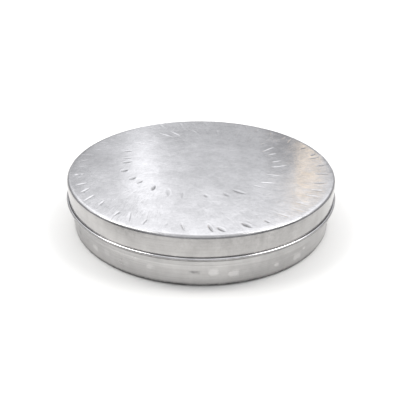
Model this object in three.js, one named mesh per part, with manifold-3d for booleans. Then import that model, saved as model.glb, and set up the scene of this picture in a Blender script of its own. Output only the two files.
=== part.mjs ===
// Round slip-lid candle tin: a drawn can, a lift-off lid with a curled bead,
// and a poured candle with three wicks inside.
// Millimetres, +Z up. The origin is the centre of the circle that the can stands on.

import * as THREE from 'three';
import { mergeVertices } from 'three/addons/utils/BufferGeometryUtils.js';
import Module from 'manifold-3d';

// ---------------------------------------------------------------------------
// Driving dimensions
// ---------------------------------------------------------------------------

const overallHeight = 28.6;
const sheet = 0.4; // wall thickness of the can and of the lid
const gap = 0.3; // clearance between pieces that touch or slide on the real tin

// lid
const skirtRadius = 73.8; // outside of the straight skirt
const lidCornerRadius = 1.8;
const beadRadius = 0.8; // half the thickness of the curled bead
const beadCentreHeight = 16.5;
const beadCurlEnd = 468; // degrees, where the curled edge stops short of the skirt

// can
const canRadius = skirtRadius - sheet - gap; // outside of the can wall at its rim
const footRadius = 72.3; // outside of the can wall at its foot, so the wall has a slight draft
const canCornerRadius = 0.7;
const toeLift = 0.5; // height of the rounded foot above the ring that the can stands on
const toeWidth = 1.6; // width of the slope from that ring up to the foot
const rimCurlRadius = 0.75; // half the thickness of the inward curl
const rimCurlSweep = 270; // degrees
const panelRadius = 64.0; // raised middle of the floor
const panelRise = 0.8;
const panelStep = 1.6; // width of the slope between the panel and the standing ring

// candle
const waxHeight = 19.0;
const wickCount = 3;
const wickCircleRadius = 35.0;
const wickRadius = 1.2;
const wickTipHeight = 24.8;
const tabRadius = 10.0;
const tabPlate = 0.3;
const tabNeckHeight = 3.0;
const tabNeckWall = 0.5;
const stickerThickness = 0.8;

// facets
const ringSegments = 64;
const smallSegments = 24;
const wickSegments = 12;
const cornerSteps = 3;
const curlSteps = 8;

// heights and radii that follow from them
const lidUnderside = overallHeight - sheet;
const rimTop = lidUnderside - gap;
const wallFoot = toeLift + canCornerRadius; // where the straight wall starts
const wallTop = rimTop - rimCurlRadius; // where it ends
const floorTop = panelRise + sheet;
const stickerBottom = floorTop + gap;
const tabBottom = stickerBottom + stickerThickness + gap;
const tabPlateTop = tabBottom + tabPlate;
const tabNeckTop = tabPlateTop + tabNeckHeight;
const tabBoreRadius = wickRadius + gap;
const tabNeckRadius = tabBoreRadius + tabNeckWall;

// ---------------------------------------------------------------------------
// Materials
// ---------------------------------------------------------------------------

const lidMetal = new THREE.MeshStandardMaterial({ color: 0xc6c8cd, roughness: 0.32, metalness: 1.0 });
const canMetal = new THREE.MeshStandardMaterial({ color: 0xbfc0c2, roughness: 0.36, metalness: 1.0 });
const waxMaterial = new THREE.MeshStandardMaterial({ color: 0xf1e9d6, roughness: 0.5, metalness: 0.0 });
const wickMaterial = new THREE.MeshStandardMaterial({ color: 0xe9e1cf, roughness: 0.9, metalness: 0.0 });
const tabMetal = new THREE.MeshStandardMaterial({ color: 0xa9abad, roughness: 0.4, metalness: 1.0 });
const stickerMaterial = new THREE.MeshStandardMaterial({ color: 0xf4f2ea, roughness: 0.8, metalness: 0.0 });

// ---------------------------------------------------------------------------
// Helpers
// ---------------------------------------------------------------------------

// Points of a round stretch in the radius-height plane, angles in degrees.
function arc(centreRadius, centreHeight, radius, fromAngle, toAngle, steps) {
  const points = [];
  for (let i = 0; i <= steps; i += 1) {
    const angle = THREE.MathUtils.degToRad(fromAngle + ((toAngle - fromAngle) * i) / steps);
    const r = centreRadius + radius * Math.cos(angle);
    const z = centreHeight + radius * Math.sin(angle);
    points.push(new THREE.Vector2(r, z));
  }
  return points;
}

function point(radius, height) {
  return new THREE.Vector2(radius, height);
}

// Turns a radius-height outline about the Z axis.
function turned(outline, segments) {
  const geometry = new THREE.LatheGeometry(outline, segments);
  geometry.rotateX(Math.PI / 2);
  return geometry;
}

// Inside radius of the can's drafted wall at a height.
function insideAt(height) {
  const share = (height - wallFoot) / (wallTop - wallFoot);
  return THREE.MathUtils.lerp(footRadius, canRadius, share) - sheet;
}

function named(name, geometry, material) {
  const mesh = new THREE.Mesh(geometry, material);
  mesh.name = name;
  return mesh;
}

const wasm = await Module();
wasm.setup();

// A closed geometry as a manifold solid, with its shared vertices merged.
function toSolid(geometry) {
  const bare = geometry.clone();
  bare.deleteAttribute('normal');
  bare.deleteAttribute('uv');
  const merged = mergeVertices(bare, 1e-4);
  const vertProperties = new Float32Array(merged.attributes.position.array);
  const triVerts = new Uint32Array(merged.index.array);
  return new wasm.Manifold(new wasm.Mesh({ numProp: 3, vertProperties, triVerts }));
}

function toGeometry(solid) {
  const mesh = solid.getMesh();
  const geometry = new THREE.BufferGeometry();
  geometry.setAttribute('position', new THREE.BufferAttribute(mesh.vertProperties, 3));
  geometry.setIndex(new THREE.BufferAttribute(mesh.triVerts, 1));
  geometry.computeVertexNormals();
  return geometry;
}

// ---------------------------------------------------------------------------
// The tin
// ---------------------------------------------------------------------------

// One drawn sheet: a flat top, a straight skirt, and its edge curled outwards
// and up into a bead. The curl stops just short of the skirt.
function lidGeometry() {
  const cornerRadius = skirtRadius - lidCornerRadius;
  const cornerHeight = overallHeight - lidCornerRadius;
  const beadCentre = skirtRadius - sheet + beadRadius;
  const outline = [
    point(0, lidUnderside),
    ...arc(cornerRadius, cornerHeight, lidCornerRadius - sheet, 90, 0, cornerSteps),
    ...arc(beadCentre, beadCentreHeight, beadRadius, 180, beadCurlEnd, curlSteps),
    ...arc(beadCentre, beadCentreHeight, beadRadius - sheet, beadCurlEnd, 180, curlSteps),
    ...arc(cornerRadius, cornerHeight, lidCornerRadius, 0, 90, cornerSteps),
    point(0, overallHeight),
  ];
  return turned(outline, ringSegments);
}

// One drawn sheet: a raised floor panel, a flat ring that it stands on, a foot
// that clears the ground, a wall with a slight draft, and its rim curled
// inwards so that the lid slides over it.
function canGeometry() {
  const cornerCentre = footRadius - canCornerRadius;
  const curlCentre = canRadius - rimCurlRadius;
  const ringEdge = cornerCentre - toeWidth;
  const outline = [
    point(0, panelRise),
    point(panelRadius, panelRise),
    point(panelRadius + panelStep, 0),
    point(ringEdge, 0),
    ...arc(cornerCentre, wallFoot, canCornerRadius, -90, 0, cornerSteps),
    ...arc(curlCentre, wallTop, rimCurlRadius, 0, rimCurlSweep, curlSteps),
    ...arc(curlCentre, wallTop, rimCurlRadius - sheet, rimCurlSweep, 0, curlSteps),
    ...arc(cornerCentre, wallFoot, canCornerRadius - sheet, 0, -90, cornerSteps),
    point(ringEdge, sheet),
    point(panelRadius + panelStep, sheet),
    point(panelRadius, floorTop),
    point(0, floorTop),
  ];
  return turned(outline, ringSegments);
}

// ---------------------------------------------------------------------------
// The candle
// ---------------------------------------------------------------------------

// The space that one wick, its tab and its sticker take out of the wax.
function wickPocket() {
  const beyond = 1.0;
  const outline = [
    point(0, sheet),
    point(tabRadius + gap, sheet),
    point(tabRadius + gap, tabPlateTop + gap),
    point(tabNeckRadius + gap, tabPlateTop + gap),
    point(tabNeckRadius + gap, tabNeckTop + gap),
    point(wickRadius + gap, tabNeckTop + gap),
    point(wickRadius + gap, waxHeight + beyond),
    point(0, waxHeight + beyond),
  ];
  return turned(outline, smallSegments);
}

// The poured wax, which follows the can's floor and wall.
function waxGeometry(places) {
  const ringFloor = sheet + gap;
  const toeFloor = toeLift + sheet + gap;
  const toeEdge = footRadius - canCornerRadius;
  const outline = [
    point(0, stickerBottom),
    point(panelRadius + gap, stickerBottom),
    point(panelRadius + panelStep + gap, ringFloor),
    point(toeEdge - toeWidth - gap, ringFloor),
    point(toeEdge - gap, toeFloor),
    point(insideAt(wallFoot) - gap, wallFoot + gap),
    point(insideAt(waxHeight) - gap, waxHeight),
    point(0, waxHeight),
  ];
  let wax = toSolid(turned(outline, ringSegments));
  for (const place of places) {
    const pocket = wickPocket();
    pocket.translate(place.x, place.y, 0);
    wax = wax.subtract(toSolid(pocket));
  }
  return toGeometry(wax);
}

// A pressed plate with a neck in its middle that grips the wick.
function tabGeometry() {
  const outline = [
    point(tabBoreRadius, tabBottom),
    point(tabRadius, tabBottom),
    point(tabRadius, tabPlateTop),
    point(tabNeckRadius, tabPlateTop),
    point(tabNeckRadius, tabNeckTop),
    point(tabBoreRadius, tabNeckTop),
    point(tabBoreRadius, tabBottom),
  ];
  return turned(outline, smallSegments);
}

function stickerGeometry() {
  const outline = [
    point(0, stickerBottom),
    point(tabRadius, stickerBottom),
    point(tabRadius, stickerBottom + stickerThickness),
    point(0, stickerBottom + stickerThickness),
  ];
  return turned(outline, smallSegments);
}

function wickGeometry() {
  const outline = [
    point(0, tabBottom),
    point(wickRadius, tabBottom),
    point(wickRadius, wickTipHeight),
    point(0, wickTipHeight),
  ];
  return turned(outline, wickSegments);
}

// The wicks stand evenly on a circle, the first one at the back.
function wickPlaces() {
  const places = [];
  for (let i = 0; i < wickCount; i += 1) {
    const angle = Math.PI / 2 + (i * 2 * Math.PI) / wickCount;
    const x = wickCircleRadius * Math.cos(angle);
    const y = wickCircleRadius * Math.sin(angle);
    places.push(new THREE.Vector3(x, y, 0));
  }
  return places;
}

// ---------------------------------------------------------------------------
// Assembly
// ---------------------------------------------------------------------------

const candleTin = new THREE.Group();
const places = wickPlaces();

candleTin.add(named('lid', lidGeometry(), lidMetal));
candleTin.add(named('can_body', canGeometry(), canMetal));
candleTin.add(named('wax_fill', waxGeometry(places), waxMaterial));

places.forEach((place, i) => {
  const wickSet = new THREE.Group();
  wickSet.position.copy(place);
  wickSet.add(named(`wick_${i + 1}`, wickGeometry(), wickMaterial));
  wickSet.add(named(`wick_tab_${i + 1}`, tabGeometry(), tabMetal));
  wickSet.add(named(`wick_sticker_${i + 1}`, stickerGeometry(), stickerMaterial));
  candleTin.add(wickSet);
});

export default candleTin;
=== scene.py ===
# %% [markdown]
# # A hand-struck candle tin
# The tin is two drawn aluminium sheets, a can and a lid that slips over it, with a poured candle
# inside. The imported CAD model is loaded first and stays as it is: it gives every place and size,
# and each finer piece made here takes the place of one of its solids.

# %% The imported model
import math
import random

import bmesh
import bpy
import numpy as np
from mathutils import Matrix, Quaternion, Vector, noise


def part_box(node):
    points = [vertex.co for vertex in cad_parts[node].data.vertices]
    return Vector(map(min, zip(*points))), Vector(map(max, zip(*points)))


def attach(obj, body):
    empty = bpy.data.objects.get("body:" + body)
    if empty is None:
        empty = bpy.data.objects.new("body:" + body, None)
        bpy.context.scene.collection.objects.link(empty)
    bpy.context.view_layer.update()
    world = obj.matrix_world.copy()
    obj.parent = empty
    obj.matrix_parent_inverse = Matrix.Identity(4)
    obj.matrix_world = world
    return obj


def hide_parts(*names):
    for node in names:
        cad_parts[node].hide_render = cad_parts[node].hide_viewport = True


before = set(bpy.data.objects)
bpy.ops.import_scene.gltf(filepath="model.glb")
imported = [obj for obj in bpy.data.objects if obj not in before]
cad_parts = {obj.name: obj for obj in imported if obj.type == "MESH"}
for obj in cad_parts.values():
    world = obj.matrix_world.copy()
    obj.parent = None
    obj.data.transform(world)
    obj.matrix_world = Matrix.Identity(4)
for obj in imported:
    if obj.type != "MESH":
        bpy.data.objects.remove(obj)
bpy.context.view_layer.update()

# %% [markdown]
# ## Sizes
# The boxes of the CAD solids give the outer sizes. The few that a box can't show, such as the
# thickness of the sheet and the radius of a rounded corner, are named here in metres.

# %% Sizes of the tin
MM = 0.001
lid_low, lid_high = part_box("lid")
can_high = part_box("can_body")[1]
wax_low, wax_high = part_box("wax_fill")

sheet = 0.4 * MM
lid_top = lid_high.z
skirt_radius = can_high.x + 0.3 * MM + sheet
lid_corner = 1.8 * MM
bead_bottom = lid_low.z
bead_radius = 0.8 * MM
bead_height = bead_bottom + bead_radius
bead_centre = skirt_radius - sheet + bead_radius
bead_curl = 297.0

can_radius = can_high.x
foot_radius = 72.3 * MM
foot_corner = 0.7 * MM
toe_lift = 0.5 * MM
toe_width = 1.6 * MM
wall_foot = toe_lift + foot_corner
rim_top = can_high.z
rim_curl = 0.75 * MM
wall_top = rim_top - rim_curl
panel_radius = 64.0 * MM
panel_rise = 0.8 * MM
panel_step = 1.6 * MM


def wall_radius(height):
    """Outside of the can's wall, which widens a little from its foot to its rim."""
    share = (height - wall_foot) / (wall_top - wall_foot)
    return foot_radius + (can_radius - foot_radius) * share


print("lid", round(2000 * bead_centre + 2000 * bead_radius, 2), "mm across the bead")
print("can", round(2000 * can_radius, 2), "mm across, wax", round(1000 * wax_high.z, 2), "mm deep")

# %% [markdown]
# ## Drawing and turning an outline
# Both sheets are round, so each starts as half of its cross-section, drawn as a wire with a pen
# that makes straight lines and arcs, and is then spun about the axis. A line is an extruded
# vertex. An arc is a vertex spun about the arc's centre. Working with the spin operator keeps
# every round stretch truly round, at any number of steps.

# %% The pen
def pen_down(radius, height):
    bm = bmesh.new()
    return bm, bm.verts.new((radius, 0.0, height))


def line_to(bm, last, radius, height, pieces=1):
    """Carries the pen straight to a new place, in equal pieces."""
    start, end = last.co.copy(), Vector((radius, 0.0, height))
    for i in range(pieces):
        last = bmesh.ops.extrude_vert_indiv(bm, verts=[last])["verts"][0]
        last.co = start.lerp(end, (i + 1) / pieces)
    return last


def arc_about(bm, last, radius, height, degrees, steps):
    """Carries the pen round a centre. Positive degrees turn from outwards towards up."""
    made = bmesh.ops.spin(
        bm,
        geom=[last],
        cent=(radius, 0.0, height),
        axis=(0.0, -1.0, 0.0),
        angle=math.radians(degrees),
        steps=steps,
    )
    return [g for g in made["geom_last"] if isinstance(g, bmesh.types.BMVert)][0]


def turn(bm, steps):
    """Spins the outline once round and closes the seam and any pole."""
    bmesh.ops.spin(
        bm,
        geom=bm.verts[:] + bm.edges[:],
        cent=(0.0, 0.0, 0.0),
        axis=(0.0, 0.0, 1.0),
        angle=math.tau,
        steps=steps,
        use_merge=True,
    )
    bmesh.ops.remove_doubles(bm, verts=bm.verts, dist=1e-6)
    bmesh.ops.recalc_face_normals(bm, faces=bm.faces)


def point_middle(bm, radius, way):
    """Turns an open skin over unless its faces inside a radius look up (1) or down (-1)."""
    bmesh.ops.recalc_face_normals(bm, faces=bm.faces)
    bm.normal_update()
    middle = [f for f in bm.faces if f.calc_center_median().xy.length < radius]
    if way * sum(f.normal.z * f.calc_area() for f in middle) < 0.0:
        bmesh.ops.reverse_faces(bm, faces=bm.faces)


# %% From a bmesh to a piece
def to_piece(bm, name, body, nodes, material):
    """A finished object at the origin that rides on a body and stands for CAD nodes."""
    mesh = bpy.data.meshes.new(name)
    bm.to_mesh(mesh)
    bm.free()
    mesh.shade_smooth()
    mesh.materials.append(material)
    piece = bpy.data.objects.new(name, mesh)
    bpy.context.scene.collection.objects.link(piece)
    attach(piece, body)
    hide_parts(*nodes)
    return piece


# %% [markdown]
# ## Finishes
# Mill-finish sheet isn't one even grey. It has a fine grain from the rolls, cloudy patches where
# the surface is a little duller, and hair scratches from handling. All of them are noise on
# Object coordinates, which are in metres here, so a scale of 400 gives marks about 2.5 mm apart.
# The bare metal itself is a metallic Principled shader with a low, varied roughness.

# %% Node helpers
def new_material(name):
    material = bpy.data.materials.new(name)
    material.use_nodes = True
    tree = material.node_tree
    shader = tree.nodes["Principled BSDF"]
    place = tree.nodes.new("ShaderNodeTexCoord")
    return material, tree, shader, place.outputs["Object"]


def stretched(tree, vector, scale):
    node = tree.nodes.new("ShaderNodeMapping")
    node.inputs["Scale"].default_value = scale
    tree.links.new(vector, node.inputs["Vector"])
    return node.outputs["Vector"]


def noise_field(tree, vector, scale, detail=2.0, rough=0.5):
    node = tree.nodes.new("ShaderNodeTexNoise")
    node.inputs["Scale"].default_value = scale
    node.inputs["Detail"].default_value = detail
    node.inputs["Roughness"].default_value = rough
    tree.links.new(vector, node.inputs["Vector"])
    return node.outputs["Fac"]


def remap(tree, value, low, high, new_low, new_high):
    node = tree.nodes.new("ShaderNodeMapRange")
    node.inputs["From Min"].default_value = low
    node.inputs["From Max"].default_value = high
    node.inputs["To Min"].default_value = new_low
    node.inputs["To Max"].default_value = new_high
    tree.links.new(value, node.inputs["Value"])
    return node.outputs["Result"]


def calculate(tree, operation, first, second):
    node = tree.nodes.new("ShaderNodeMath")
    node.operation = operation
    for socket, value in zip(node.inputs, (first, second)):
        if isinstance(value, (int, float)):
            socket.default_value = value
        else:
            tree.links.new(value, socket)
    return node.outputs["Value"]


def tint(tree, value, dark, light):
    node = tree.nodes.new("ShaderNodeMix")
    node.data_type = "RGBA"
    node.inputs["A"].default_value = (*dark, 1.0)
    node.inputs["B"].default_value = (*light, 1.0)
    tree.links.new(value, node.inputs["Factor"])
    return node.outputs["Result"]


def scaled(tree, colour, factor):
    node = tree.nodes.new("ShaderNodeVectorMath")
    node.operation = "SCALE"
    tree.links.new(colour, node.inputs[0])
    tree.links.new(factor, node.inputs["Scale"])
    return node.outputs["Vector"]


def product(tree, first, *others):
    """Multiplies two or more values."""
    total = first
    for value in others:
        total = calculate(tree, "MULTIPLY", total, value)
    return total


def paint(tree, shader, value, low, high, dark, light):
    """Colours a surface from dark, where the value is low, to light, where it is high."""
    colour = tint(tree, remap(tree, value, low, high, 0.0, 1.0), dark, light)
    tree.links.new(colour, shader.inputs["Base Color"])


def roughen(tree, shader, value, low, high, smooth, rough):
    """Sets the roughness from a value, in the same way."""
    tree.links.new(remap(tree, value, low, high, smooth, rough), shader.inputs["Roughness"])


def add_bump(tree, shader, height, strength, distance):
    """Adds one layer of relief over any that the shader already has."""
    node = tree.nodes.new("ShaderNodeBump")
    node.inputs["Strength"].default_value = strength
    node.inputs["Distance"].default_value = distance
    tree.links.new(height, node.inputs["Height"])
    if shader.inputs["Normal"].is_linked:
        tree.links.new(shader.inputs["Normal"].links[0].from_socket, node.inputs["Normal"])
    tree.links.new(node.outputs["Normal"], shader.inputs["Normal"])


def surface_value(tree, name):
    node = tree.nodes.new("ShaderNodeAttribute")
    node.attribute_name = name
    return node.outputs["Fac"]


# %% Rolled aluminium
def weighted(tree, *parts):
    """Adds (value, weight) parts into one."""
    total = 0.0
    for value, weight in parts:
        total = calculate(tree, "ADD", total, calculate(tree, "MULTIPLY", value, weight))
    return total


def swirled(tree, place, lean, around, outward):
    """Coordinates for marks that run outwards and lean over by an angle, without a seam."""
    flat = stretched(tree, place, (1.0, 1.0, 0.0))
    length = tree.nodes.new("ShaderNodeVectorMath")
    length.operation = "LENGTH"
    tree.links.new(flat, length.inputs[0])
    reach = length.outputs["Value"]
    way = tree.nodes.new("ShaderNodeVectorMath")
    way.operation = "NORMALIZE"
    tree.links.new(flat, way.inputs[0])
    turned = tree.nodes.new("ShaderNodeVectorRotate")
    turned.rotation_type = "Z_AXIS"
    tree.links.new(way.outputs["Vector"], turned.inputs["Vector"])
    spiral = -math.tan(math.radians(lean))
    swing = calculate(tree, "MULTIPLY", calculate(tree, "LOGARITHM", reach, math.e), spiral)
    tree.links.new(swing, turned.inputs["Angle"])
    parts = tree.nodes.new("ShaderNodeSeparateXYZ")
    tree.links.new(turned.outputs["Vector"], parts.inputs["Vector"])
    joined = tree.nodes.new("ShaderNodeCombineXYZ")
    tree.links.new(calculate(tree, "MULTIPLY", parts.outputs["X"], around), joined.inputs["X"])
    tree.links.new(calculate(tree, "MULTIPLY", parts.outputs["Y"], around), joined.inputs["Y"])
    tree.links.new(calculate(tree, "MULTIPLY", reach, outward), joined.inputs["Z"])
    return joined.outputs["Vector"], reach


def rolled_aluminium(name, dark, light, roughness, speckle, wear_shade_attribute, wear_shade_dark, wear_light):
    """Metal with rolling grain, clouding and draw lines. Wear is brighter above 0 and duller below,
    and painted shade is darker below 0.
    """
    material, tree, shader, place = new_material(name)
    shader.inputs["Metallic"].default_value = 1.0
    wear_and_shade = surface_value(tree, wear_shade_attribute)

    clouds = noise_field(tree, place, 55.0, detail=4.0, rough=0.6)
    patches = noise_field(tree, stretched(tree, place, (1.0, 1.0, 0.5)), 190.0, detail=3.0, rough=0.6)
    mottle = noise_field(tree, place, 520.0, detail=3.0, rough=0.7)
    drawn = noise_field(tree, stretched(tree, place, (0.02, 0.02, 1.0)), 1500.0, detail=2.0)
    tone = weighted(tree, (clouds, 0.35), (patches, 0.25), (mottle, speckle), (drawn, 0.4 - speckle))
    sheet_colour = tint(tree, remap(tree, tone, 0.395, 0.605, 0.0, 1.0), dark, light)
    # below 0 the colour darkens, both for dull marks from use and for painted shade
    polish = remap(tree, wear_and_shade, 0.0, 1.0, 1.0, wear_light)
    uneven_dirt_and_shade = calculate(tree, "MULTIPLY", wear_and_shade, remap(tree, mottle, 0.35, 0.65, 0.6, 1.25))
    grime_and_shade = remap(tree, uneven_dirt_and_shade, -1.0, 0.0, wear_shade_dark, 1.0)
    wear_shade_factor = calculate(tree, "MULTIPLY", polish, grime_and_shade)
    tree.links.new(scaled(tree, sheet_colour, wear_shade_factor), shader.inputs["Base Color"])

    dull = noise_field(tree, place, 140.0, detail=3.0, rough=0.55)
    spread = remap(tree, dull, 0.25, 0.75, roughness - 0.05, roughness + 0.08)
    hit = calculate(tree, "MULTIPLY", calculate(tree, "ABSOLUTE", wear_and_shade, 0.0), 0.25)
    tree.links.new(calculate(tree, "ADD", spread, hit), shader.inputs["Roughness"])

    add_bump(tree, shader, patches, 0.4, 0.06 * MM)
    add_bump(tree, shader, mottle, 2.0 * speckle, 0.035 * MM)
    grain = noise_field(tree, stretched(tree, place, (1.0, 0.12, 1.0)), 2600.0, detail=2.0)
    add_bump(tree, shader, grain, 0.3, 0.012 * MM)
    return material, tree, shader, place


def scratch_lid(tree, shader, place):
    """Fine scratches beside the punch marks, which run out and lean over as those do."""
    lines, reach = swirled(tree, place, 20.0, 210.0, 130.0)
    fine = noise_field(tree, lines, 1.0, detail=1.5)
    split = tree.nodes.new("ShaderNodeSeparateXYZ")
    tree.links.new(place, split.inputs["Vector"])
    height = split.outputs["Z"]
    far_out = remap(tree, reach, 0.40 * skirt_radius, 0.85 * skirt_radius, 0.3, 1.0)
    patch = remap(tree, noise_field(tree, place, 26.0), 0.42, 0.6, 0.2, 1.0)
    on_top = remap(tree, height, lid_top - 0.5 * lid_corner, lid_top - 0.1 * lid_corner, 0.0, 1.0)
    amount = product(tree, far_out, patch, on_top)
    deep = calculate(tree, "MULTIPLY", remap(tree, fine, 0.60, 0.70, 0.0, 1.0), amount)
    proud = calculate(tree, "MULTIPLY", remap(tree, fine, 0.40, 0.28, 0.0, 1.0), amount)
    add_bump(tree, shader, weighted(tree, (deep, -1.0), (proud, 0.7)), 0.4, 0.04 * MM)
    plain = shader.inputs["Base Color"].links[0].from_socket
    lined = weighted(tree, (1.0, 1.0), (deep, -0.16), (proud, 0.05))
    tree.links.new(scaled(tree, plain, lined), shader.inputs["Base Color"])


# the lid's attribute holds the tone of each strike and the painted shade on its skirt and bead
lid_metal, *lid_nodes = rolled_aluminium(
    "lid_rolled_aluminium",
    dark=(0.436, 0.427, 0.420),
    light=(0.596, 0.583, 0.574),
    roughness=0.095,
    speckle=0.25,
    wear_shade_attribute="struck_and_shade",
    wear_shade_dark=0.34,
    wear_light=1.1,
)
scratch_lid(*lid_nodes)
# the can's attribute holds the tone of its spots and the painted shade on its wall
can_metal, *_ = rolled_aluminium(
    "can_rolled_aluminium",
    dark=(0.468, 0.460, 0.455),
    light=(0.573, 0.564, 0.557),
    roughness=0.30,
    speckle=0.05,
    wear_shade_attribute="rubbed_and_shade",
    wear_shade_dark=0.10,
    wear_light=1.28,
)
print("metals:", lid_metal.name, can_metal.name)

# %% [markdown]
# ## The lid's skin
# The lid is drawn from one sheet: a flat top, a rounded edge, a straight skirt, and the cut edge
# curled outwards and up into a bead, which makes it stiff and safe to handle. Only the outer
# skin is drawn. It gets its thickness at the end, so every dent shows on the inside too.
# A full spin would crowd hundreds of thin triangles at the middle. So the middle is a small
# disc with few steps, joined to the rest by a bridge between the two rings of edges.

# %% Outline of the lid
lid_steps = 300
hub_steps = 60
hub_radius = 6.0 * MM
hub_bridge = 1.5 * MM
ring_pitch = 1.2 * MM
top_level = lid_top - 0.06 * MM


def lid_outline():
    corner_radius = skirt_radius - lid_corner
    first_ring = hub_radius + hub_bridge
    bm, tip = pen_down(first_ring, top_level)
    rings = round((corner_radius - first_ring) / ring_pitch)
    tip = line_to(bm, tip, corner_radius, top_level, rings)
    tip = arc_about(bm, tip, corner_radius, top_level - lid_corner, -90.0, 6)
    tip = line_to(bm, tip, skirt_radius, bead_height, 9)
    arc_about(bm, tip, bead_centre, bead_height, bead_curl, 18)
    return bm


def add_hub(bm, radius, level):
    """Fills the hole in the middle with a disc of fewer, wider faces."""
    reach = radius + 2.0 * hub_bridge
    inner = [e for e in bm.edges if e.is_boundary and e.verts[0].co.xy.length < reach]
    disc, tip = pen_down(0.0, level)
    line_to(disc, tip, radius, level, 4)
    turn(disc, hub_steps)
    carrier = bpy.data.meshes.new("hub")
    disc.to_mesh(carrier)
    disc.free()
    known = set(bm.verts)
    bm.from_mesh(carrier)
    bpy.data.meshes.remove(carrier)
    outer = [e for e in bm.edges if e.is_boundary and not known & set(e.verts)]
    bmesh.ops.bridge_loops(bm, edges=inner + outer)
    point_middle(bm, 5.0 * radius, 1)


lid_bm = lid_outline()
turn(lid_bm, lid_steps)
add_hub(lid_bm, hub_radius, top_level)
print("lid skin:", len(lid_bm.faces), "faces")

# %% [markdown]
# ## Struck marks
# Somebody has struck two rings of dents into the lid with a narrow punch: one close to the edge,
# and one further in whose middle lies a little towards the back. Each dent is a spindle, deepest
# in the middle, set nearly along the radius but turned by about twenty degrees. Handwork is
# uneven, so pitch, reach, turn and depth each wander a little, from one seeded generator. Whole
# stretches of a ring also differ: in some the marks are deep, broad and dark, and in others they
# are light, long, slim and bright. The strikes could be a bump texture, but light would then
# slide over a flat outline. Pressing the mesh itself gives real slopes, and the skin is cut
# finer only where the punch lands.

# %% The two rings of strikes
class Strike:
    def __init__(self, x, y, heading, length, width, depth, tone):
        self.x, self.y, self.heading = x, y, heading
        self.length, self.width, self.depth, self.tone = length, width, depth, tone

    def local(self, x, y):
        """Places along and across the mark, as shares of its half length and half width."""
        c, s = math.cos(self.heading), math.sin(self.heading)
        dx, dy = x - self.x, y - self.y
        return (dx * c + dy * s) / (0.5 * self.length), (dy * c - dx * s) / (0.5 * self.width)


# each arc: middle and half width in degrees, how hard it was hit, how dull (-) or bright (+) its
# marks are, and how wide they are, since a narrower mark is also longer
inner_arcs = (
    (202.0, 42.0, 1.1, -0.8, 1.25),
    (274.0, 28.0, 0.4, -0.4, 1.2),
    (352.0, 34.0, 0.62, 0.4, 0.6),
    (130.0, 26.0, 0.7, 0.7, 0.6),
)
outer_arcs = (
    (283.0, 17.0, 1.2, -0.8, 1.2),
    (227.0, 38.0, 0.95, 0.9, 0.65),
    (8.0, 34.0, 0.3, -0.9, 0.75),
)
plain_manner = (0.36, 0.2, 0.7)


def manner(arcs, angle):
    """How hard, how bright and how wide a mark is at an angle round the ring."""
    for middle, half, force, tone, breadth in arcs:
        away = (math.degrees(angle) - middle + 180.0) % 360.0 - 180.0
        if abs(away) < half:
            return force, tone, breadth
    return plain_manner


def ring_of_strikes(rng, count, radius, middle, reach, length, width, depth, twist, arcs):
    """Marks round a circle about (0, middle). twist and the wander are in degrees."""
    strikes = []
    for i in range(count):
        angle = math.tau * (i + rng.uniform(-0.3, 0.3)) / count
        r = radius + rng.uniform(-reach, reach)
        force, tone, breadth = manner(arcs, angle)
        strikes.append(
            Strike(
                r * math.cos(angle),
                r * math.sin(angle) + middle,
                angle + math.radians(twist + rng.uniform(-15.0, 15.0)),
                length * rng.uniform(0.6, 1.25) * (1.6 - 0.6 * breadth),
                width * rng.uniform(0.6, 1.15) * breadth,
                depth * force * rng.uniform(0.6, 1.1),
                tone * rng.uniform(0.6, 1.0),
            )
        )
    return strikes


hand = random.Random(7)
inner_ring = ring_of_strikes(
    hand,
    count=29,
    radius=0.60 * skirt_radius,
    middle=0.10 * skirt_radius,
    reach=1.8 * MM,
    length=7.6 * MM,
    width=2.6 * MM,
    depth=0.28 * MM,
    twist=18.0,
    arcs=inner_arcs,
)
outer_ring = ring_of_strikes(
    hand,
    count=45,
    radius=0.905 * skirt_radius,
    middle=0.0,
    reach=1.6 * MM,
    length=6.4 * MM,
    width=2.2 * MM,
    depth=0.25 * MM,
    twist=18.0,
    arcs=outer_arcs,
)
strikes = inner_ring + outer_ring
print("strikes:", len(inner_ring), "inner,", len(outer_ring), "outer")


# %% Finer mesh where the punch lands
def refine(bm, wanted, cuts):
    """Cuts the faces for which wanted(centre) is true into a finer grid."""
    chosen = [f for f in bm.faces if wanted(f.calc_center_median())]
    edges = list({e for f in chosen for e in f.edges})
    bmesh.ops.subdivide_edges(bm, edges=edges, cuts=cuts, use_grid_fill=True)
    return len(chosen)


def near_strike(centre):
    if centre.z < top_level - 0.1 * MM:
        return False
    for s in strikes:
        if abs(centre.x - s.x) < s.length and abs(centre.y - s.y) < s.length:
            along, across = s.local(centre.x, centre.y)
            if abs(along) < 1.25 and abs(across) < 1.9:
                return True
    return False


print("refined faces:", refine(lid_bm, near_strike, 2))
print("lid skin:", len(lid_bm.faces), "faces")


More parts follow.
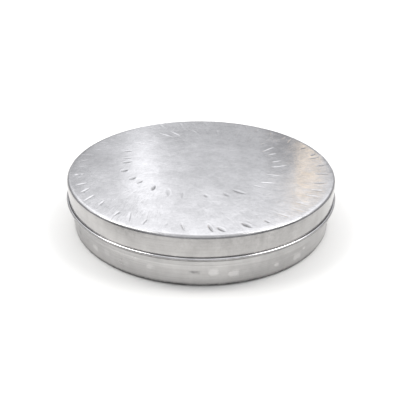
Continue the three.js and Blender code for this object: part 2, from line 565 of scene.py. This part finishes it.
# %% Pressing the marks
def press(bm, marks, layer_name):
    """Sinks the top by the depth of each mark, raises a slight lip, and notes each mark's tone."""
    layer = bm.verts.layers.float.new(layer_name)
    low, rim = top_level - 0.1 * MM, skirt_radius - lid_corner
    tops = [v for v in bm.verts if v.co.z > low and v.co.xy.length < rim]
    x = np.array([v.co.x for v in tops])
    y = np.array([v.co.y for v in tops])
    drop = np.zeros(len(tops))
    hit = np.zeros(len(tops))
    for s in marks:
        along, across = s.local(x, y)
        taper = np.clip(1.0 - along**2, 0.0, 1.0)
        share = np.abs(across) / np.maximum(taper**0.7, 1e-3)
        bowl = 0.5 + 0.5 * np.cos(math.pi * np.minimum(share, 1.0))
        groove = np.where(share < 1.0, bowl, 0.0) * taper**0.6
        beside = (share > 0.9) & (share < 1.9)
        lip = np.where(beside, np.sin(math.pi * (share - 0.9)), 0.0) * taper
        drop += s.depth * (groove - 0.10 * lip)
        shade = groove**0.6 * s.tone
        hit = np.where(np.abs(shade) > np.abs(hit), shade, hit)
    for v, d, h in zip(tops, drop, hit):
        v.co.z -= d
        v[layer] = h
    return drop


pressed = press(lid_bm, strikes, "struck_and_shade")
print("deepest strike", round(1000 * pressed.max(), 3), "mm")


# %% Painted shade on the skirt and the bead, and the bead's painted highlight
# painted light: the bead's highlight at the front, shade on the skirt's front, and shade under its rim
# at the front left
# each place: an angle round the tin and how far it fades to each side, in degrees
bead_highlight = (-85.0, 34.0)
skirt_shade_front = (-70.0, 36.0)
skirt_shade_under_rim = (242.0, 13.0)
bead_shade_height = bead_height + 0.25 * bead_radius


def lobe(co, middle, half):
    """1 at an angle round the tin and fading to 0 on both sides of it, in degrees."""
    away = (math.degrees(math.atan2(co.y, co.x)) - middle + 180.0) % 360.0 - 180.0
    return math.exp(-((away / half) ** 2))


def shade_skirt(bm, layer_name):
    """Paints shade on the skirt's top and front and on the bead's lower side, and leaves a painted
    highlight on the bead only at the front.
    """
    layer = bm.verts.layers.float[layer_name]
    for v in bm.verts:
        # painted shade on the lower side of the bead
        if v.co.z < bead_shade_height:
            v[layer] = -min(1.0, 2.6 * (bead_shade_height - v.co.z) / bead_radius)
        # the bead is dimmed away from the front, which leaves a painted highlight there
        elif v.co.xy.length > skirt_radius + 0.2 * MM:
            v[layer] = -0.40 * (1.0 - lobe(v.co, *bead_highlight))
        # painted shade: the skirt is darker towards its top, in front, and under the rim at the front
        # left
        elif v.co.xy.length > skirt_radius - 0.6 * lid_corner:
            up = max(0.0, min(1.0, (v.co.z - bead_height) / (lid_top - bead_height)))
            front_shade = lobe(v.co, *skirt_shade_front)
            rim_shade = lobe(v.co, *skirt_shade_under_rim)
            v[layer] = -0.04 - 0.24 * up**1.2 - 0.28 * front_shade - 0.40 * rim_shade * up**2


shade_skirt(lid_bm, "struck_and_shade")

# %% [markdown]
# ## A sheet is never quite flat
# A thin pressed top has slow waves of a few hundredths of a millimetre. They are too small to
# see as shape, but a reflection shows them at once. The rounded edge was dressed by hand and
# wanders by about a tenth of a millimetre. More would push its corner into the can's curled rim.

# %% Waves and the dressed edge
edge_wander = 0.13 * MM


def ripple(bm, size, height, seed):
    """Moves each point along its normal by a slow noise."""
    bm.normal_update()
    moves = []
    for v in bm.verts:
        p = v.co / size + Vector((seed, 0.0, 0.0))
        moves.append(v.normal * noise.noise(p) * height)
    for v, move in zip(bm.verts, moves):
        v.co += move


def keep_inside(bm, low, high, reach):
    """No point leaves the space between two heights and inside a radius."""
    for v in bm.verts:
        v.co.z = min(max(v.co.z, low), high)
        r = v.co.xy.length
        if r > reach:
            v.co.xy *= reach / r


def dress_edge(bm, height, seed):
    """The rounded edge was dressed by hand, so it runs a little in and out."""
    for v in bm.verts:
        if v.co.z < bead_height + 2.0 * bead_radius:
            continue
        r = v.co.xy.length
        near = max(0.0, 1.0 - abs(r - skirt_radius + 0.4 * lid_corner) / (1.6 * lid_corner))
        down = max(0.0, 1.0 - (lid_top - v.co.z) / (3.5 * lid_corner))
        way = v.co.xy.normalized() * 9.0
        wave = noise.noise(Vector((way.x, way.y, seed)))
        v.co.xy *= 1.0 + height * wave * near * down / max(r, lid_corner)
        v.co.z -= 0.7 * height * abs(wave) * near


dress_edge(lid_bm, edge_wander, 5.0)
ripple(lid_bm, 22.0 * MM, 0.06 * MM, 3.0)
keep_inside(lid_bm, bead_bottom, lid_top, bead_centre + bead_radius - sheet)


# %% Thickness of a sheet
def finished_mesh(thing):
    """A new mesh of an object as its modifiers or its curve settings leave it."""
    bpy.context.view_layer.update()
    depsgraph = bpy.context.evaluated_depsgraph_get()
    return bpy.data.meshes.new_from_object(thing.evaluated_get(depsgraph))


def apply_modifiers(piece):
    solid = finished_mesh(piece)
    piece.modifiers.clear()
    old = piece.data
    piece.data = solid
    solid.name = piece.name
    bpy.data.meshes.remove(old)


def thicken(piece, thickness):
    """Grows the wall inwards from the outer skin and makes it part of the mesh."""
    wall = piece.modifiers.new("wall", "SOLIDIFY")
    wall.thickness = thickness
    wall.offset = -1.0
    wall.use_even_offset = False
    apply_modifiers(piece)


lid_piece = to_piece(lid_bm, "lid_sheet", "lid", ["lid"], lid_metal)
thicken(lid_piece, sheet)
print("lid:", len(lid_piece.data.polygons), "faces")

# %% [markdown]
# ## The can
# The can is the same sheet: a raised floor panel so that it stands on a flat ring, a small
# rounded foot, a wall that widens a little towards the rim, and the rim curled inwards so that
# the lid slides over it. A fine line is scored round the wall, a few millimetres below the
# closed lid. The floor is turned whole, right to the middle, because a bridge between two rings
# of edges would show there as a seam.

# %% Outline of the can
can_steps = 300
line_height = 12.0 * MM
line_half = 0.25 * MM
line_depth = 0.07 * MM


def can_outline():
    bm, tip = pen_down(0.0, panel_rise)
    tip = line_to(bm, tip, panel_radius, panel_rise, 16)
    tip = line_to(bm, tip, panel_radius + panel_step, 0.0, 3)
    toe_edge = foot_radius - foot_corner
    tip = line_to(bm, tip, toe_edge - toe_width, 0.0, 4)
    tip = line_to(bm, tip, toe_edge, toe_lift, 2)
    tip = arc_about(bm, tip, toe_edge, wall_foot, 90.0, 6)
    below, above = line_height - line_half, line_height + line_half
    tip = line_to(bm, tip, wall_radius(below), below, 9)
    tip = line_to(bm, tip, wall_radius(line_height) - line_depth, line_height, 1)
    tip = line_to(bm, tip, wall_radius(above), above, 1)
    tip = line_to(bm, tip, can_radius, wall_top, 40)
    arc_about(bm, tip, can_radius - rim_curl, wall_top, 270.0, 16)
    return bm


can_bm = can_outline()
turn(can_bm, can_steps)
point_middle(can_bm, 0.5 * panel_radius, -1)
print("can skin:", len(can_bm.faces), "faces")

# %% [markdown]
# ## Wear and painted shade on the wall
# Handling has rubbed small spots on the wall, most of them brighter than the metal round them.
# Each is a blunt square with a ragged edge, pressed in by a few hundredths of a millimetre. How
# bright or dull each point is, with the painted shade at the foot, under the lid and on the front
# and left, is kept as an attribute on the mesh, which the metal reads.

# %% Rubbed spots and painted shade on the wall
spot_count = 34
spot_height = 7.4 * MM
spot_width = 3.8 * MM
spot_tall = 2.8 * MM
# the painted shade at the foot, in a band under the lid, and on the front and left of the wall
foot_shade_height = 1.5 * MM
lid_shade_height = bead_bottom - 0.8 * MM
lid_shade_half = 0.55 * MM
wall_shade_front = (-62.0, 34.0)
wall_shade_left = (203.0, 20.0)


class Spot:
    def __init__(self, rng, angle):
        self.angle = angle
        self.height = spot_height + rng.uniform(-2.2, 1.8) * MM
        self.half_width = 0.5 * spot_width * rng.uniform(0.5, 1.2)
        self.half_tall = 0.5 * spot_tall * rng.uniform(0.4, 1.15)
        self.strength = rng.choice((-0.45, 0.3, 0.45, 0.8, 1.0))

    def share(self, angle, height):
        """Strongest in the middle of the spot, and 0 outside its ragged edge."""
        turned = (angle - self.angle + math.pi) % math.tau - math.pi
        across = turned * foot_radius / self.half_width
        up = (height - self.height) / self.half_tall
        ragged = 0.3 * noise.noise(Vector((1.6 * across, 1.6 * up, self.angle)))
        reach = (across**4 + up**4) ** 0.25 + ragged
        return self.strength * max(0.0, min(1.0, 3.0 - 2.6 * reach))


spots = []
for i in range(spot_count):
    spots.append(Spot(hand, math.tau * (i + hand.uniform(-0.35, 0.35)) / spot_count))


def near_spot(centre):
    if centre.z < wall_foot or centre.z > line_height - line_half:
        return False
    if centre.xy.length < foot_radius - 0.1 * MM:
        return False
    angle = math.atan2(centre.y, centre.x)
    return any(s.share(angle, centre.z) != 0.0 for s in spots)


def rub_and_shade(bm):
    """Presses each spot in a little and notes how bright or dull it is. Paints shade at the foot,
    under the lid and on the front and left.
    """
    layer = bm.verts.layers.float.new("rubbed_and_shade")
    for v in bm.verts:
        if v.co.xy.length < foot_radius - foot_corner:
            continue
        # painted shade: above the scored line the wall is a little darker, and darkest in a band just
        # below the lid's bead
        if v.co.z > line_height:
            v[layer] = -0.06 - 0.66 * math.exp(-(((v.co.z - lid_shade_height) / lid_shade_half) ** 2))
            continue
        # painted shade: the wall darkens towards its foot, where it stands on the floor
        if v.co.z < foot_shade_height:
            v[layer] = -min(1.0, 3.0 * (foot_shade_height - v.co.z) / foot_shade_height)
            continue
        angle = math.atan2(v.co.y, v.co.x)
        share = max((s.share(angle, v.co.z) for s in spots), key=abs)
        # painted shade, darker on the front and on the left of the wall
        shade_on_wall = -0.12 * lobe(v.co, *wall_shade_front) - 0.24 * lobe(v.co, *wall_shade_left)
        v[layer] = share if share != 0.0 else shade_on_wall
        v.co.xy *= 1.0 - 0.04 * MM * abs(share) / can_radius


print("refined faces:", refine(can_bm, near_spot, 2))
rub_and_shade(can_bm)
ripple(can_bm, 16.0 * MM, 0.05 * MM, 11.0)
keep_inside(can_bm, 0.0, rim_top, can_radius)
can_piece = to_piece(can_bm, "can_sheet", "can", ["can_body"], can_metal)
thicken(can_piece, sheet)
print("can:", len(can_piece.data.polygons), "faces")

# %% [markdown]
# ## The wax
# Poured wax creeps a little way up the metal and up each wick as it sets, sinks a touch in
# between, and keeps faint waves and a pale bloom. It is turned as a solid block, and a pocket
# for each wick with its tab and sticker is cut away with a Boolean, as the candle is really
# poured round them. Then its top is pushed up and down by small formulas.

# %% Where the wicks stand
wick_names = sorted(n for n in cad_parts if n.startswith("wick_") and n[5:].isdigit())
wick_boxes = [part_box(n) for n in wick_names]
wick_places = [0.5 * (low + high) for low, high in wick_boxes]
wick_radius = 0.5 * (wick_boxes[0][1].x - wick_boxes[0][0].x)
wick_bottom = wick_boxes[0][0].z
wick_tip = wick_boxes[0][1].z
print("wicks at", [tuple(round(1000 * c, 1) for c in p.xy) for p in wick_places], "mm")

# %% The wax block
wax_bottom = wax_low.z
wax_top = wax_high.z
wax_radius = wax_high.x
wax_steps = 180
tab_low, tab_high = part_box("wick_tab_1")
tab_radius = 0.5 * (tab_high.x - tab_low.x)
tab_neck_radius = wick_radius + 0.8 * MM
tab_plate_top = tab_low.z + 0.3 * MM
clearance = 0.3 * MM


def wax_block():
    bm, tip = pen_down(0.0, panel_rise + sheet + clearance)
    tip = line_to(bm, tip, panel_radius + clearance, panel_rise + sheet + clearance, 6)
    tip = line_to(bm, tip, panel_radius + panel_step + clearance, wax_bottom)
    toe_edge = foot_radius - foot_corner - clearance
    tip = line_to(bm, tip, toe_edge - toe_width, wax_bottom)
    tip = line_to(bm, tip, toe_edge, wax_bottom + toe_lift)
    tip = line_to(bm, tip, wall_radius(wall_foot) - sheet - clearance, wall_foot + clearance, 2)
    tip = line_to(bm, tip, wax_radius, wax_top - 0.4 * MM, 6)
    tip = arc_about(bm, tip, wax_radius - 0.4 * MM, wax_top - 0.4 * MM, 90.0, 4)
    tip = line_to(bm, tip, wax_radius - 5.0 * MM, wax_top, 9)
    line_to(bm, tip, 0.0, wax_top, 34)
    turn(bm, wax_steps)
    return bm


def wick_pocket(place):
    bm, tip = pen_down(0.0, 0.5 * wax_bottom)
    tip = line_to(bm, tip, tab_radius + clearance, 0.5 * wax_bottom)
    tip = line_to(bm, tip, tab_radius + clearance, tab_plate_top + clearance)
    tip = line_to(bm, tip, tab_neck_radius + clearance, tab_plate_top + clearance)
    tip = line_to(bm, tip, tab_neck_radius + clearance, tab_high.z + clearance)
    tip = line_to(bm, tip, wick_radius + 0.1 * MM, tab_high.z + clearance)
    tip = line_to(bm, tip, wick_radius + 0.1 * MM, wax_top + 1.0 * MM)
    line_to(bm, tip, 0.0, wax_top + 1.0 * MM)
    turn(bm, 40)
    bmesh.ops.translate(bm, verts=bm.verts, vec=(place.x, place.y, 0.0))
    return bm


def as_tool(bm, name):
    mesh = bpy.data.meshes.new(name)
    bm.to_mesh(mesh)
    bm.free()
    tool = bpy.data.objects.new(name, mesh)
    bpy.context.scene.collection.objects.link(tool)
    return tool


def cut(piece, tool):
    step = piece.modifiers.new("cut", "BOOLEAN")
    step.operation = "DIFFERENCE"
    step.solver = "EXACT"
    step.object = tool
    apply_modifiers(piece)
    bpy.data.objects.remove(tool)


# %% Wax material
def candle_wax():
    material, tree, shader, place = new_material("cream_wax")
    cloud = noise_field(tree, place, 60.0, detail=4.0, rough=0.6)
    bloom = noise_field(tree, place, 420.0, detail=3.0, rough=0.65)
    mix = weighted(tree, (cloud, 0.6), (bloom, 0.4))
    paint(tree, shader, mix, 0.35, 0.65, (0.83, 0.77, 0.62), (0.93, 0.89, 0.78))
    roughen(tree, shader, bloom, 0.3, 0.7, 0.34, 0.56)
    shader.inputs["Subsurface Weight"].default_value = 0.35
    shader.inputs["Subsurface Radius"].default_value = (1.0, 0.7, 0.4)
    shader.inputs["Subsurface Scale"].default_value = 2.5 * MM
    shader.inputs["IOR"].default_value = 1.44
    add_bump(tree, shader, cloud, 0.3, 0.25 * MM)
    add_bump(tree, shader, bloom, 0.25, 0.04 * MM)
    return material


wax_material = candle_wax()
wax_piece = to_piece(wax_block(), "poured_wax", "can", ["wax_fill"], wax_material)
for place in wick_places:
    cut(wax_piece, as_tool(wick_pocket(place), "pocket"))
print("wax:", len(wax_piece.data.polygons), "faces after cutting")

# %% The set surface
meniscus_height = 0.55 * MM
meniscus_reach = 1.0 * MM
wick_climb = 0.45 * MM


def settle_wax(mesh):
    """Lifts the top at the wall and at each wick, and gives the rest slow, shallow waves."""
    for v in mesh.vertices:
        if v.co.z < wax_top - 0.41 * MM:
            continue
        p = v.co
        r = p.xy.length
        lift = meniscus_height * math.exp((r - wax_radius) / meniscus_reach)
        for place in wick_places:
            lift += wick_climb * math.exp(-((p.xy - place.xy).length - wick_radius) / (1.1 * MM))
        lift += 0.12 * MM * noise.noise(p / (18.0 * MM))
        lift += 0.03 * MM * noise.noise(p / (4.0 * MM))
        if p.z > wax_top - 0.05 * MM:
            p.z += lift
        else:
            p.z += 0.6 * lift


settle_wax(wax_piece.data)
print("wax rises", round(1000 * meniscus_height, 2), "mm at the wall")

# %% [markdown]
# ## Braided wicks
# A candle wick is a round cotton braid, made stiff with wax. Half of its strands run one way
# round and half the other, and each goes over and under the ones it meets, so the strands of one
# direction stand out just where those of the other dip. Each strand is a thin curve with a round
# section, about a core. The tip flares a little where it was trimmed.

# %% Strands
strand_count = 8
strand_radius = 0.34 * MM
braid_radius = 0.60 * MM
braid_swing = 0.20 * MM
turn_length = 7.0 * MM
strand_points = 90


def strand_curve(place, number, lean):
    """One strand as a curve from the tab to the trimmed tip."""
    way = 1.0 if number % 2 == 0 else -1.0
    start = math.tau * (number // 2) / (strand_count // 2)
    curve = bpy.data.curves.new("strand", "CURVE")
    curve.dimensions = "3D"
    curve.bevel_depth = strand_radius
    curve.bevel_resolution = 1
    curve.use_fill_caps = True
    spline = curve.splines.new("POLY")
    spline.points.add(strand_points - 1)
    for i, point in enumerate(spline.points):
        share = i / (strand_points - 1)
        height = wick_bottom + share * (wick_tip - 0.2 * MM - wick_bottom)
        phase = math.tau * (height - wick_bottom) / turn_length
        flare = 0.22 * MM * max(0.0, (share - 0.95) / 0.05) ** 2
        radius = braid_radius + way * braid_swing * math.cos(0.5 * strand_count * phase) + flare
        angle = start + way * phase
        bend = lean * max(0.0, (height - wax_top) / (wick_tip - wax_top)) ** 2
        point.co = (
            place.x + radius * math.cos(angle) + bend.x,
            place.y + radius * math.sin(angle) + bend.y,
            height,
            1.0,
        )
    return curve


def add_curve(bm, curve):
    """Adds a curve's tube to a bmesh."""
    holder = bpy.data.objects.new("strand", curve)
    bpy.context.scene.collection.objects.link(holder)
    mesh = finished_mesh(holder)
    bm.from_mesh(mesh)
    bpy.data.meshes.remove(mesh)
    bpy.data.objects.remove(holder)
    bpy.data.curves.remove(curve)


def braid(place, lean):
    core, tip = pen_down(0.0, wick_bottom)
    tip = line_to(core, tip, braid_radius, wick_bottom)
    tip = line_to(core, tip, braid_radius, wick_tip - 0.5 * MM, 8)
    line_to(core, tip, 0.0, wick_tip - 0.35 * MM)
    turn(core, 12)
    for v in core.verts:
        v.co += lean * max(0.0, (v.co.z - wax_top) / (wick_tip - wax_top)) ** 2
    bmesh.ops.translate(core, verts=core.verts, vec=(place.x, place.y, 0.0))
    for number in range(strand_count):
        add_curve(core, strand_curve(place, number, lean))
    bmesh.ops.remove_doubles(core, verts=core.verts, dist=1e-7)
    bmesh.ops.recalc_face_normals(core, faces=core.faces)
    return core


# %% Cotton
def primed_cotton():
    material, tree, shader, place = new_material("primed_cotton")
    fibre = noise_field(tree, stretched(tree, place, (1.0, 1.0, 0.35)), 5200.0, detail=3.0)
    patch = noise_field(tree, place, 500.0, detail=2.0)
    blend = weighted(tree, (fibre, 0.6), (patch, 0.4))
    paint(tree, shader, blend, 0.3, 0.7, (0.84, 0.79, 0.68), (0.96, 0.93, 0.86))
    roughen(tree, shader, patch, 0.3, 0.7, 0.55, 0.85)
    shader.inputs["Sheen Weight"].default_value = 0.25
    add_bump(tree, shader, fibre, 0.6, 0.08 * MM)
    return material


cotton = primed_cotton()
for number, (name, place) in enumerate(zip(wick_names, wick_places)):
    lean = Vector((hand.uniform(-0.5, 0.5), hand.uniform(-0.5, 0.5), 0.0)) * MM
    label = f"braided_wick_{number + 1}"
    wick_piece = to_piece(braid(place, lean), label, "can", [name], cotton)
    print(wick_piece.name, len(wick_piece.data.polygons), "faces")

# %% [markdown]
# ## Wick tabs and stickers
# Each wick stands in a pressed steel tab, crimped round it in three places, and a foam sticker
# holds the tab to the floor of the can. The tab is a turned skin with its own thickness, and
# the crimps are pushed in by moving the neck's points.

# %% Tabs
def pressed_tab(place):
    neck = tab_neck_radius
    bm, tip = pen_down(tab_radius - 0.1 * MM, tab_low.z)
    tip = line_to(bm, tip, wick_radius + 0.3 * MM, tab_low.z, 10)
    tip = line_to(bm, tip, wick_radius + 0.3 * MM, tab_high.z - 0.1 * MM, 8)
    tip = line_to(bm, tip, wick_radius + 0.4 * MM, tab_high.z)
    tip = line_to(bm, tip, neck - 0.1 * MM, tab_high.z)
    tip = line_to(bm, tip, neck, tab_high.z - 0.1 * MM)
    tip = line_to(bm, tip, neck, tab_plate_top + 0.5 * MM, 7)
    tip = arc_about(bm, tip, neck + 0.5 * MM, tab_plate_top + 0.5 * MM, 90.0, 5)
    tip = line_to(bm, tip, tab_radius - 2.6 * MM, tab_plate_top, 4)
    tip = line_to(bm, tip, tab_radius - 0.1 * MM, tab_plate_top, 5)
    tip = line_to(bm, tip, tab_radius, tab_plate_top - 0.1 * MM)
    tip = line_to(bm, tip, tab_radius, tab_low.z + 0.1 * MM)
    line_to(bm, tip, tab_radius - 0.1 * MM, tab_low.z)
    turn(bm, 72)
    crimp(bm)
    bmesh.ops.translate(bm, verts=bm.verts, vec=(place.x, place.y, 0.0))
    return bm


def crimp(bm):
    """Pinches the neck towards the wick in three places and presses a ring into the plate."""
    middle = 0.5 * (tab_plate_top + tab_high.z)
    for v in bm.verts:
        r = v.co.xy.length
        on_neck = wick_radius + 0.35 * MM < r < tab_neck_radius + 0.05 * MM
        if on_neck and v.co.z > tab_plate_top + 0.4 * MM:
            around = max(0.0, math.cos(3.0 * math.atan2(v.co.y, v.co.x))) ** 4
            up = math.exp(-(((v.co.z - middle) / (0.7 * MM)) ** 2))
            v.co.xy *= 1.0 - 0.3 * MM * around * up / r
        if abs(v.co.z - tab_plate_top) < 0.02 * MM:
            v.co.z -= 0.08 * MM * math.exp(-(((r - 0.7 * tab_radius) / (0.6 * MM)) ** 2))


def pressed_steel():
    material, tree, shader, place = new_material("tinned_steel")
    shader.inputs["Metallic"].default_value = 1.0
    grain = noise_field(tree, stretched(tree, place, (1.0, 0.1, 1.0)), 3000.0, detail=2.0)
    cloud = noise_field(tree, place, 300.0, detail=3.0)
    paint(tree, shader, cloud, 0.3, 0.7, (0.42, 0.42, 0.43), (0.62, 0.62, 0.62))
    roughen(tree, shader, cloud, 0.3, 0.7, 0.28, 0.45)
    add_bump(tree, shader, grain, 0.3, 0.02 * MM)
    return material


tab_steel = pressed_steel()
for number, place in enumerate(wick_places):
    node = f"wick_tab_{number + 1}"
    tab = to_piece(pressed_tab(place), f"pressed_tab_{number + 1}", "can", [node], tab_steel)
    print(tab.name, len(tab.data.polygons), "faces")

# %% Stickers
sticker_low, sticker_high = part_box("wick_sticker_1")


def foam_sticker(place):
    edge = 0.2 * MM
    bm, tip = pen_down(0.0, sticker_low.z)
    tip = line_to(bm, tip, tab_radius - edge, sticker_low.z, 6)
    tip = arc_about(bm, tip, tab_radius - edge, sticker_low.z + edge, 90.0, 3)
    tip = line_to(bm, tip, tab_radius, sticker_high.z - edge)
    tip = arc_about(bm, tip, tab_radius - edge, sticker_high.z - edge, 90.0, 3)
    line_to(bm, tip, 0.0, sticker_high.z, 6)
    turn(bm, 60)
    bmesh.ops.translate(bm, verts=bm.verts, vec=(place.x, place.y, 0.0))
    return bm


def sticker_foam():
    material, tree, shader, place = new_material("white_foam")
    cells = tree.nodes.new("ShaderNodeTexVoronoi")
    cells.inputs["Scale"].default_value = 3500.0
    tree.links.new(place, cells.inputs["Vector"])
    colour = tint(tree, cells.outputs["Distance"], (0.80, 0.79, 0.75), (0.93, 0.92, 0.89))
    tree.links.new(colour, shader.inputs["Base Color"])
    shader.inputs["Roughness"].default_value = 0.8
    add_bump(tree, shader, cells.outputs["Distance"], 0.5, 0.06 * MM)
    return material


foam = sticker_foam()
for number, place in enumerate(wick_places):
    node = f"wick_sticker_{number + 1}"
    label = f"foam_sticker_{number + 1}"
    sticker = to_piece(foam_sticker(place), label, "can", [node], foam)
    print(sticker.name, len(sticker.data.polygons), "faces")

# %% [markdown]
# ## The studio
# Metal shows its surroundings, so lighting it is mostly a matter of what it sees. The floor is
# plain paper. The light above is broad and soft, and it fades towards the horizon, which grades
# the flat lid from bright at the front to grey at the back. Straight overhead it dims again, so
# that the lid doesn't glare when it is seen from above. Behind the tin a tall narrow light on
# the left draws one soft streak, and a warm card on the right tints that edge. The camera's side
# and the far left and right are darker, which gives the skirt its grey. All of it is painted on
# the world by direction, which is the same as lights a long way off. A broad lamp on each side
# lights the floor and gives the tin its shadows.

# %% Floor
floor_size = 3.0
floor_drop = 0.02 * MM  # the foot ring and the floor would flicker at the same height
floor_bm = bmesh.new()
bmesh.ops.create_grid(floor_bm, x_segments=1, y_segments=1, size=0.5 * floor_size)
floor_mesh = bpy.data.meshes.new("floor")
floor_bm.to_mesh(floor_mesh)
floor_bm.free()
floor = bpy.data.objects.new("floor", floor_mesh)
bpy.context.scene.collection.objects.link(floor)
floor_material, _, floor_shader, _ = new_material("pale_floor")
floor_shader.inputs["Base Color"].default_value = (0.740, 0.727, 0.696, 1.0)
floor_shader.inputs["Roughness"].default_value = 0.9
floor_shader.inputs["Specular IOR Level"].default_value = 0.0
floor.data.materials.append(floor_material)
floor.location.z = -floor_drop
print("floor:", floor_size, "m across")

# %% Camera
camera_place = Vector((0.0, -266.0, 151.7)) * MM
camera_pitch = 28.61
camera_yaw = -0.12
camera_roll = 0.416
camera_data = bpy.data.cameras.new("camera")
camera_data.lens = 46.88
camera_data.sensor_width = 36.0
camera_data.clip_start = 0.01
camera_data.clip_end = 50.0
camera = bpy.data.objects.new("camera", camera_data)
bpy.context.scene.collection.objects.link(camera)
camera.location = camera_place
yaw, pitch = math.radians(camera_yaw), math.radians(camera_pitch)
level = math.cos(pitch)
forward = Vector((math.sin(yaw) * level, math.cos(yaw) * level, -math.sin(pitch)))
camera.rotation_mode = "QUATERNION"
tilt = Quaternion((0.0, 0.0, 1.0), math.radians(camera_roll))
camera.rotation_quaternion = forward.to_track_quat("-Z", "Y") @ tilt
bpy.context.scene.camera = camera
print("camera:", camera_data.lens, "mm lens, looking down by", camera_pitch, "degrees")

# %% Painting the sky by direction
world = bpy.data.worlds.new("studio")
bpy.context.scene.world = world
world.use_nodes = True
sky_tree = world.node_tree
background = sky_tree.nodes["Background"]
split = sky_tree.nodes.new("ShaderNodeSeparateXYZ")
sky_place = sky_tree.nodes.new("ShaderNodeTexCoord")
sky_tree.links.new(sky_place.outputs["Generated"], split.inputs["Vector"])
east, north, up = split.outputs["X"], split.outputs["Y"], split.outputs["Z"]
bearing = calculate(sky_tree, "ARCTAN2", east, north)


def smooth_step(tree, value, low, high):
    """0 below low and 1 above high, or the other way round where low is the larger."""
    node = tree.nodes.new("ShaderNodeMapRange")
    node.interpolation_type = "SMOOTHSTEP"
    flip = low > high
    node.inputs["From Min"].default_value = min(low, high)
    node.inputs["From Max"].default_value = max(low, high)
    node.inputs["To Min"].default_value = 1.0 if flip else 0.0
    node.inputs["To Max"].default_value = 0.0 if flip else 1.0
    tree.links.new(value, node.inputs["Value"])
    return node.outputs["Result"]


def streak(tree, value, middle, width):
    """A soft bell round a bearing, in degrees."""
    away = calculate(tree, "SUBTRACT", value, math.radians(middle))
    share = calculate(tree, "DIVIDE", away, math.radians(width))
    square = calculate(tree, "MULTIPLY", share, share)
    return calculate(tree, "EXPONENT", product(tree, square, -1.0), 0.0)


# how bright the sky is at each height, from 0 at the horizon to 1 straight overhead
sky_peak = 2.2
sky_white = (0.965, 0.985, 1.04)
sky_levels = (
    (0.0, 0.75),
    (0.20, 0.72),
    (0.35, 0.78),
    (0.40, 1.03),
    (0.435, 1.23),
    (0.476, 1.29),
    (0.515, 1.66),
    (0.60, 1.90),
    (0.84, 1.90),
    (0.94, 1.35),
    (1.0, 1.25),
)
ramp = sky_tree.nodes.new("ShaderNodeValToRGB")
sky_tree.links.new(up, ramp.inputs["Fac"])
stops = ramp.color_ramp.elements
stops[0].position = sky_levels[0][0]
stops[1].position = sky_levels[-1][0]
for height, level in sky_levels[1:-1]:
    stops.new(height)
for stop, (height, level) in zip(stops, sky_levels):
    stop.color = (*(c * level / sky_peak for c in sky_white), 1.0)


def mixed(tree, factor, first, colour):
    node = tree.nodes.new("ShaderNodeMix")
    node.data_type = "RGBA"
    tree.links.new(factor, node.inputs["Factor"])
    tree.links.new(first, node.inputs["A"])
    node.inputs["B"].default_value = (*colour, 1.0)
    return node.outputs["Result"]


# a tall narrow light behind left, and a duller stretch further left and on the right
behind = smooth_step(sky_tree, up, 0.53, 0.43)
behind_left = smooth_step(sky_tree, up, 0.60, 0.50)
low_behind = smooth_step(sky_tree, up, 0.48, 0.38)
glow = product(sky_tree, streak(sky_tree, bearing, -6.9, 2.2), behind)
dull = product(sky_tree, streak(sky_tree, bearing, 9.8, 2.4), low_behind)
dull_left = product(sky_tree, streak(sky_tree, bearing, -16.5, 3.2), behind_left)
dull_right = product(sky_tree, streak(sky_tree, bearing, 17.4, 2.6), low_behind)
painted_behind = ((glow, 0.64), (dull, -0.34), (dull_left, -0.23), (dull_right, -0.20))
gain = weighted(sky_tree, (1.0, 1.0), *painted_behind)

# the camera's side of the room is darker, all but straight overhead, and so are both sides low down
front_side = smooth_step(sky_tree, north, 0.0, -0.25)
below_top = smooth_step(sky_tree, up, 0.98, 0.72)
above_low = remap(sky_tree, up, 0.15, 0.50, 0.5, 1.0)
room_side = product(sky_tree, front_side, below_top, above_low)
aside = smooth_step(sky_tree, calculate(sky_tree, "ABSOLUTE", east, 0.0), 0.50, 0.80)
below_half = smooth_step(sky_tree, up, 0.62, 0.42)
far_sides = product(sky_tree, aside, below_half)
gain = weighted(sky_tree, (gain, 1.0), (room_side, -0.52), (far_sides, -0.30))

# a warm card behind right
card_left = smooth_step(sky_tree, bearing, math.radians(11.35), math.radians(11.55))
card_right = smooth_step(sky_tree, bearing, math.radians(14.7), math.radians(13.8))
card_top = smooth_step(sky_tree, up, 0.52, 0.44)
card_foot = smooth_step(sky_tree, up, 0.357, 0.370)
card = product(sky_tree, card_left, card_right, card_top, card_foot)
card_colour = tuple(c / sky_peak for c in (1.56, 1.38, 1.19))
painted = mixed(sky_tree, card, scaled(sky_tree, ramp.outputs["Color"], gain), card_colour)

# what the camera itself sees past the floor is the plain backdrop
path = sky_tree.nodes.new("ShaderNodeLightPath")
backdrop = (1.0 / sky_peak, 1.0 / sky_peak, 1.0 / sky_peak)
seen = mixed(sky_tree, path.outputs["Is Camera Ray"], painted, backdrop)
sky_tree.links.new(seen, background.inputs["Color"])
background.inputs["Strength"].default_value = sky_peak
print("sky:", len(sky_levels), "levels, peak", sky_peak)

# %% A soft lamp on each side
lamp_size = 0.8
lamp_power = 10.5
lamp_out, lamp_back, lamp_height = 0.92, 0.1, 1.35
lamp_tilt = math.radians(34.0)
for side in (-1.0, 1.0):
    lamp_data = bpy.data.lights.new("side_lamp", "AREA")
    lamp_data.shape = "DISK"
    lamp_data.size = lamp_size
    lamp_data.energy = lamp_power
    lamp = bpy.data.objects.new("side_lamp", lamp_data)
    bpy.context.scene.collection.objects.link(lamp)
    lamp.location = (lamp_out * side, lamp_back, lamp_height)
    lamp.rotation_euler = (0.0, lamp_tilt * side, 0.0)
print("lamps: 2 of", lamp_power, "watts")

bpy.context.scene.view_settings.view_transform = "Standard"
